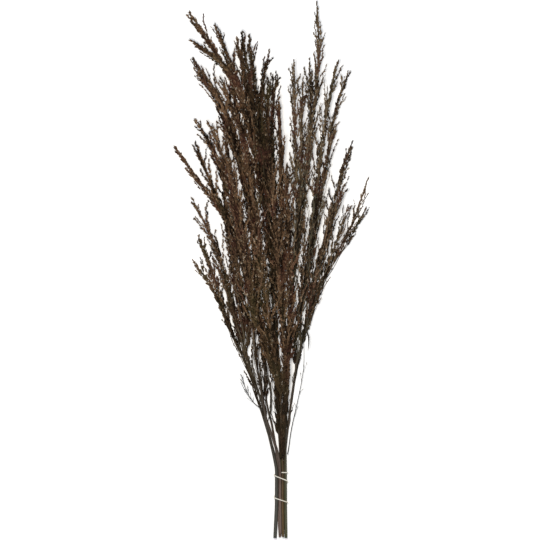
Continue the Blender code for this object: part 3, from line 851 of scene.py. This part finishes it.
class TuftMaker:
    """Grows the spray of one tuft along its route."""

    def __init__(self, route, habit, rng):
        self.route = route
        self.habit = habit
        self.rng = rng
        self.spray = Spray()
        self.spindles = []

    def lean(self, share):
        """How far the route leans to the right here, from -1 to 1."""
        before, after = self.route.at(np.clip((share - LEAN_STEP, share + LEAN_STEP), 0, 1))[0]
        return (after - before)[0] / np.linalg.norm(after - before)

    def points_outward(self, share, angle):
        """Whether a twig that leaves here at this angle grows away from the middle of the bunch."""
        return self.route.at(share)[0][0] * math.cos(angle) > 0

    def add_stalk(self, foot):
        """From this share of the route to a little past its tip, where it carries spikelets of its own."""
        line, _ = self.route.at(np.linspace(foot, 1, STALK_RINGS - len(STALK_PAST)))
        past = np.array(STALK_PAST)[:, None] * PAST_THE_TIP * self.route.ahead
        line = np.concatenate([line, line[-1] + past])
        line[:, 2] = np.maximum(line[:, 2], STALK_RADIUS + FLOOR_GAP)
        radius = np.linspace(1, STALK_END, STALK_RINGS) * STALK_RADIUS
        self.spray.add_tube(line, radius, STALK_SIDES, STALK_TINT)
        vigour = self.habit.leading * self.habit.husk_size
        self.spindles.append(husks_on(line, LEADING_BARE, self.habit.fullness, vigour, STALK_TINT, self.rng))

    def add_twig(self, start, length, angle, reach, poke, bare, width=1.0, tints=(0, 1)):
        """It starts at this share of the route and reaches this share of its half-width, and further out."""
        line = grow_twig(self.route, start, length, angle, reach, poke, self.rng)
        tint = self.rng.uniform(*tints)
        radius = width * TWIG_RADIUS * np.linspace(1, TWIG_END, TWIG_RINGS)
        self.spray.add_tube(line, radius, TWIG_SIDES, tint)
        vigour = self.habit.husk_size * self.rng.uniform(*VIGOUR)
        self.spindles.append(husks_on(line, bare, self.habit.fullness, vigour, tint, self.rng))

    def add_twigs(self, foot, count):
        """Twigs all along the route, from this share of it. More than half of them stand out as fingers."""
        rng, habit = self.rng, self.habit
        for number in range(count):
            start = foot + (1 - foot) * LAST_TWIG * (number + rng.random()) / count
            left = (1 - start) * self.route.length + PAST_THE_TIP
            length = min(rng.uniform(*TWIG_LENGTH), left * rng.uniform(*ROOM_TAKEN))
            finger = rng.random() < FINGERS
            if finger:
                reach = 1.0
                poke = rng.uniform(*FINGER_POKE) * habit.poke * min(1, length / TWIG_LENGTH[0]) ** 0.5
                poke *= min(1, (1 - start) / TIP_PART)
            else:
                reach = math.sqrt(rng.uniform(*INNER_REACH))
                poke = rng.uniform(*INNER_POKE) * habit.poke
            angle = GOLDEN_ANGLE * number + rng.normal(0, TURN_STRAY)
            if finger:
                lean = self.lean(start) * math.cos(angle)
                poke += max(-lean, 0) * UPRIGHT * length * habit.poke
                poke *= 1 - max(lean, 0)
            if self.points_outward(start, angle):
                poke *= min(1, habit.edge_poke + (start - foot) / (1 - foot))
            poke = min(poke, MOST_POKE * length)
            low = max(0, foot + LOW_PART - start) / LOW_PART
            bare = habit.bare * rng.uniform(*BARE_STRAY) + habit.low_bare * low
            self.add_twig(start, length, angle, reach, poke, bare)

    def add_bracts(self, start, end, count, least_half=0.0, lightest=BRACT_TINT):
        """Broad dark bracts close round the stalk, between these shares of the route."""
        rng, route = self.rng, self.route
        share = start + (end - start) * rng.uniform(*BRACT_PLACE, count)
        places, half = route.at(share)
        half = np.maximum(half, least_half)
        ahead, side, up = (between(share, route.shares, rows) for rows in lengthwise(route.places))
        out = turned(rng.uniform(0, 2 * np.pi, count), side, up)
        reach = BRACT_REACH * np.sqrt(rng.random(count)) * (1 - share**BRACT_CLOSING)
        roots = places + out * (half * reach[:, None])[:, [0, 0, 1]]
        size = 1 - BRACT_DWINDLING * share
        along = ahead + out * rng.uniform(*BRACT_LEAN, count)[:, None]
        along *= rng.uniform(*BRACT_LENGTH, count)[:, None] * size[:, None]
        width = rng.uniform(*BRACT_WIDTH, count) * size
        tints = tint_rows(count, rng.uniform(0, lightest, count), rng.uniform(0, lightest, count), 0)
        self.spindles.append((roots, along, width, tints))

    def add_low_twigs(self, foot):
        """The lowest twigs and dark sheath remains, which also stand for painted shade in the neck, on the
        stem below this share of the route.
        """
        rng, habit = self.rng, self.habit
        top = foot + habit.bare_stretch * (1 - foot)
        for number in range(habit.low_twigs):
            start = top * (number + rng.random()) / habit.low_twigs
            angle = GOLDEN_ANGLE * number + rng.normal(0, TURN_STRAY)
            bare = rng.uniform(*LOW_TWIG_BARE[number % 2])
            length = rng.uniform(*LOW_TWIG_LENGTH)
            poke = rng.uniform(*LOW_TWIG_POKE)
            if self.points_outward(start, angle):
                poke *= LOW_EDGE_POKE
            self.add_twig(start, length, angle, LOW_TWIG_REACH, poke, bare, LOW_TWIG_WIDTH, LOW_TWIG_TINT)
        # Dark sheath remains on the stem, which also stand for painted shade deep in the neck.
        self.add_bracts(0, foot, habit.sheaths_and_shade, SHEATH_AND_SHADE_HALF_WIDTH, habit.sheath_and_shade_tint)

    def finish_piece(self, name, node, shape, finish):
        self.spray.add_spindles(shape, *(np.concatenate(rows) for rows in zip(*self.spindles)))
        keep_piece(new_object(name, self.spray.mesh(name)), node, finish)


def make_tuft(node, shape, habit, finish, seed, stem=None):
    """The spray that fills one tuft's solid. A leading one starts on its stem."""
    route = Solid(node).route(TUFT_STATIONS)
    breadth = (route.half[:, 0].max() / USUAL_HALF_WIDTH) ** CROWDING
    count = max(FEWEST_TWIGS, round(route.length / TWIG_STEP * breadth * habit.twigs))
    foot = 0
    if stem:
        whole = Solid(stem).route(STEM_STATIONS)
        above_tie = whole.places[-1, 1] - tie_middle() - CORD_Y[0] - CLEAR_OF_TIE
        below = whole.last(min(habit.low_stretch, above_tie))
        route = below.then(route)
        foot = below.length / route.length
        for _ in range(FOOT_EASING):
            route.half = evened(route.half)
    maker = TuftMaker(route, habit, np.random.default_rng(seed))
    maker.add_stalk(foot)
    maker.add_twigs(foot, count)
    maker.add_bracts(foot, 1, round(count * TWIG_STEP / BRACT_STEP * habit.bracts))
    if stem:
        maker.add_low_twigs(foot)
    maker.finish_piece(node.replace("plume", "tuft"), node, shape, finish)


def make_wisp(node, shape, barbs, finish, seed):
    """A thin dry stalk, with fine barbs to both sides of its upper part."""
    rng = np.random.default_rng(seed)
    maker = TuftMaker(Solid(node).route(TUFT_STATIONS), WISP, rng)
    maker.add_stalk(0)
    for number in range(barbs):
        start = BARBS_FROM + BARBS_OVER * (number + rng.random()) / barbs
        angle = math.pi * number + rng.normal(0, BARB_STRAY)
        poke = rng.uniform(*BARB_POKE)
        length = rng.uniform(*BARB_LENGTH)
        maker.add_twig(start, length, angle, 1.0, poke, BARB_BARE, BARB_WIDTH)
    maker.finish_piece(f"spray_{node}", node, shape, finish)


# ---- Stems


@dataclass
class Stem:
    """The colours of a reed's stem, and how far above the middle of the tie its joint is."""

    body: tuple
    streak: tuple
    joint: float


STEMS = {
    "left": Stem((84, 82, 74), (50, 48, 42), 112 * MM),
    "left_front": Stem((130, 110, 100), (84, 66, 58), 56 * MM),
    "far_left": Stem((84, 73, 56), (52, 44, 34), 62 * MM),
    "upper_left": Stem((136, 113, 101), (86, 68, 58), 98 * MM),
    "top_left": Stem((104, 75, 46), (60, 41, 25), 122 * MM),
    "top_centre": Stem((90, 90, 58), (54, 53, 33), 70 * MM),
    "centre_front": Stem((112, 90, 56), (68, 50, 30), 47 * MM),
    "tall_right": Stem((88, 86, 60), (54, 53, 36), 90 * MM),
    "upper_right": Stem((104, 75, 46), (62, 44, 28), 130 * MM),
    "far_right": Stem((80, 65, 48), (49, 39, 29), 52 * MM),
}


def model_stalk():
    """A round stalk of radius 1 from z 0 to 1, with many rings and a hollow foot."""
    bpy.ops.mesh.primitive_cylinder_add(vertices=STEM_SIDES, radius=1, depth=1, location=(0, 0, 0.5))
    stalk = bpy.context.object
    bpy.ops.object.transform_apply()

    def is_upright(edge):
        low, high = (stalk.data.vertices[corner].co.z for corner in edge.vertices)
        return abs(low - high) > 0.5

    edit_only(stalk, "EDGE", is_upright)
    bpy.ops.mesh.subdivide_edgering(number_cuts=STEM_RINGS - 2, interpolation="LINEAR", smoothness=0)
    edit_only(stalk, "FACE", lambda face: face.center.z < 0.001)
    bpy.ops.mesh.inset(thickness=STEM_WALL)
    bpy.ops.mesh.extrude_region_move(TRANSFORM_OT_translate={"value": (0, 0, STEM_HOLLOW)})
    end_edit()
    return stalk


def make_stem(pattern, reed, look):
    """A stalk of the real thickness, with its joint, from its cut end to the foot of the plume."""
    node = f"stem_{reed}"
    route = Solid(node).route(STEM_STATIONS)
    foot, top = route.places[[0, -1], 1]
    tie = (tie_middle() - foot) / (top - foot)
    joint = tie + look.joint / (top - foot)
    stem = new_object(f"stalk_{reed}", pattern.data.copy())
    corners = corners_of(stem.data)
    share = np.clip(corners[:, 2], 0, 1)
    from_joint = (share - joint) / (JOINT_RIDGE_WIDTH / route.length)
    slimness = 1 - STEM_SLIMMING * np.clip((share - tie) / (1 - tie), 0, 1) ** SLIMMING_POWER
    radius = route.half_width(share) * slimness * (1 + JOINT_RIDGE * np.exp(-(from_joint**2)))
    laid = route.laid(share, corners[:, 1] * radius, corners[:, 0] * radius)
    move_corners(stem.data, laid, 0, share * route.length, np.arctan2(corners[:, 1], corners[:, 0]))
    set_attribute(stem.data, "inside", np.hypot(corners[:, 0], corners[:, 1]) < 0.8)
    set_attribute(stem.data, "joint", np.exp(-((from_joint + JOINT_STAIN) ** 2)))
    stem.data.shade_smooth()
    keep_piece(stem, node, stem_finish(node, look.body, look.streak))


# ---- The cord


def wind_cord():
    """The cord's middle line, wound round the outline of the tied stems."""
    middle = tie_middle()
    stems = [Solid(f"stem_{reed}").section(middle) for reed in STEMS]
    angles = np.arange(math.radians(CORD_ANGLES[0]), math.radians(CORD_ANGLES[-1]), -CORD_STEP)
    round_it = []
    for angle in angles:
        toward = np.array([math.cos(angle), math.sin(angle)])
        place, half = max(stems, key=lambda stem: stem[0][[0, 2]] @ toward + stem[1][0])
        round_it.append(place[[0, 2]] + (half[0] + CORD_GAP + CORD_RADIUS) * toward)
    round_it = np.array(round_it)
    distance = distances_along(round_it)
    distance_at_angles = np.interp(-np.radians(CORD_ANGLES), -angles, distance)
    along = middle + np.interp(distance, distance_at_angles, CORD_Y)
    return np.stack([round_it[:, 0], along, round_it[:, 1]], axis=-1)


def model_ply(places):
    """One ply along these places, still a curve and selected."""
    curve = bpy.data.curves.new("ply", "CURVE")
    curve.dimensions = "3D"
    curve.bevel_depth = PLY_RADIUS
    curve.bevel_resolution = PLY_RESOLUTION
    curve.use_fill_caps = True
    spline = curve.splines.new("POLY")
    spline.points.add(len(places) - 1)
    spline.points.foreach_set("co", np.column_stack([places, np.ones(len(places))]).ravel())
    ply = new_object("ply", curve)
    ply.select_set(True)
    return ply


def make_cord():
    """Three twisted plies along the cord's middle line."""
    line = wind_cord()
    distance = distances_along(line)
    fine = np.arange(CORD_TUCK, distance[-1], PLY_STEP)
    middle = between(fine, distance, line)
    _, side, up = lengthwise(middle, reference=(0, 1, 0))
    deselect()
    angles = [2 * np.pi * (fine / PLY_PITCH + number / PLIES) for number in range(PLIES)]
    plies = [model_ply(middle + PLY_OFFSET * turned(angle, side, up)) for angle in angles]
    bpy.context.view_layer.objects.active = plies[0]
    bpy.ops.object.convert(target="MESH")
    for ply in plies:
        corner = np.arange(len(ply.data.vertices))
        set_attribute(ply.data, "along", corner // PLY_SIDES * PLY_STEP)
        set_attribute(ply.data, "around", corner % PLY_SIDES / PLY_SIDES)
    bpy.ops.object.join()
    cord = bpy.context.object
    cord.name = "cord_round_stems"
    edit_only(cord, "VERT", lambda corner: True)
    bpy.ops.mesh.remove_doubles(threshold=1e-6)
    end_edit()
    cord.data.shade_smooth()
    keep_piece(cord, "tie_cord", cord_finish())


# ---- Leaves


def frayed(share, across, rng):
    """How deep the blade is frayed here, as a share of its half-width. Its two edges differ."""
    edge = np.sign(across)
    first = np.sin(share * FRAY_WAVES[0] + edge * FRAY_SHIFTS[0] + rng.random() * FRAY_START)
    second = np.sin(share * FRAY_WAVES[1] + edge * FRAY_SHIFTS[1])
    return LEAF_FRAYING * np.abs(first * second) * np.abs(across)


def make_leaf(node, finish, seed, hangs):
    """A withered blade, folded along its middle and twisted, with a ragged edge."""
    route = Solid(node).route(LEAF_STATIONS)
    bpy.ops.mesh.primitive_grid_add(x_subdivisions=LEAF_CREASES, y_subdivisions=LEAF_RINGS, size=2)
    leaf = bpy.context.object
    leaf.name = node.replace("leaf", "blade")
    corners = corners_of(leaf.data)
    across = corners[:, 0]
    share = (corners[:, 1] + 1) / 2
    to_tip = 1 - share if hangs else share
    half = route.half_width(share) * (1 - frayed(share, across, np.random.default_rng(seed)))
    half *= np.clip(LEAF_TIP[0] - to_tip**3, LEAF_TIP[1], 1)
    twist = LEAF_TWIST * (share - 0.5) + LEAF_WAVER * np.sin(share * WAVER_TURNS)
    fold = LEAF_FOLD * (np.abs(across) ** FOLD_ROUNDING - FOLD_BELOW)
    level = (across * np.cos(twist) - fold * np.sin(twist)) * half
    height = (across * np.sin(twist) + fold * np.cos(twist)) * half
    laid = route.laid(share, level, height)
    move_corners(leaf.data, laid, 2 * FLOOR_GAP, share * route.length, across)
    thickness = leaf.modifiers.new("thickness", "SOLIDIFY")
    thickness.thickness = LEAF_THICKNESS
    thickness.offset = 0
    bpy.ops.object.modifier_apply(modifier=thickness.name)
    bpy.ops.object.shade_smooth_by_angle(angle=LEAF_CREASE_ANGLE)
    keep_piece(leaf, node, finish)


# ---- Floor, light and camera


def make_floor():
    bpy.ops.mesh.primitive_grid_add(x_subdivisions=FLOOR_CELLS, y_subdivisions=FLOOR_CELLS, size=FLOOR_SIZE)
    floor = bpy.context.object
    floor.name = "floor"
    floor.data.materials.append(floor_finish())


def light_up():
    """Soft light all round, and a lamp that faces the middle of the bunch."""
    bpy.context.scene.view_settings.view_transform = "Standard"
    world = bpy.data.worlds.new("studio")
    bpy.context.scene.world = world
    world.use_nodes = True
    sky = world.node_tree.nodes["Background"].inputs
    sky["Color"].default_value = (*WORLD_COLOUR, 1)
    sky["Strength"].default_value = WORLD_LIGHT
    bpy.ops.object.light_add(type="AREA", location=KEY_LIGHT)
    lamp = bpy.context.object
    lamp.name = "key_light"
    lamp.data.size = KEY_SIZE
    lamp.data.energy = KEY_POWER
    lamp.data.color = KEY_COLOUR
    x, y, z = KEY_LIGHT
    lamp.rotation_euler = (-math.atan2(y, z), math.atan2(x, z), 0)


def set_camera():
    """Straight over the bunch, far off and with a long lens."""
    distance = VIEW_WIDTH * LENS / SENSOR
    middle = (CAD_BOX[0].z + CAD_BOX[1].z) / 2
    bpy.ops.object.camera_add(location=(*VIEW_MIDDLE, distance + middle))
    camera = bpy.context.object
    camera.data.lens = LENS
    camera.data.sensor_width = SENSOR
    camera.data.clip_end = VIEW_DEPTH
    bpy.context.scene.camera = camera


# ---- The bunch


def main():
    deselect()
    spikelet = model_spikelet()
    finishes = {name: spray_finish(f"{name}_plume", tone) for name, tone in TONES.items()}
    plumes = sorted(node for node in NODES if node.startswith("plume_"))
    for seed, node in enumerate(plumes):
        reed = max((name for name in HABITS if node.startswith(f"plume_{name}_")), key=len)
        stem = f"stem_{reed}" if node.endswith("_leader") else None
        make_tuft(node, spikelet, HABITS[reed], finishes[HABITS[reed].tone], seed, stem)
    stalk = model_stalk()
    for reed, look in STEMS.items():
        make_stem(stalk, reed, look)
    bpy.data.objects.remove(stalk)
    leaf = leaf_finish()
    make_leaf("leaf_centre", leaf, 1, hangs=False)
    make_leaf("leaf_right", leaf, 2, hangs=True)
    make_wisp("wisp_left", spikelet, 16, finishes[WISP.tone], 101)
    make_wisp("wisp_right", spikelet, 6, finishes[WISP.tone], 102)
    make_cord()
    make_floor()
    light_up()
    set_camera()


main()
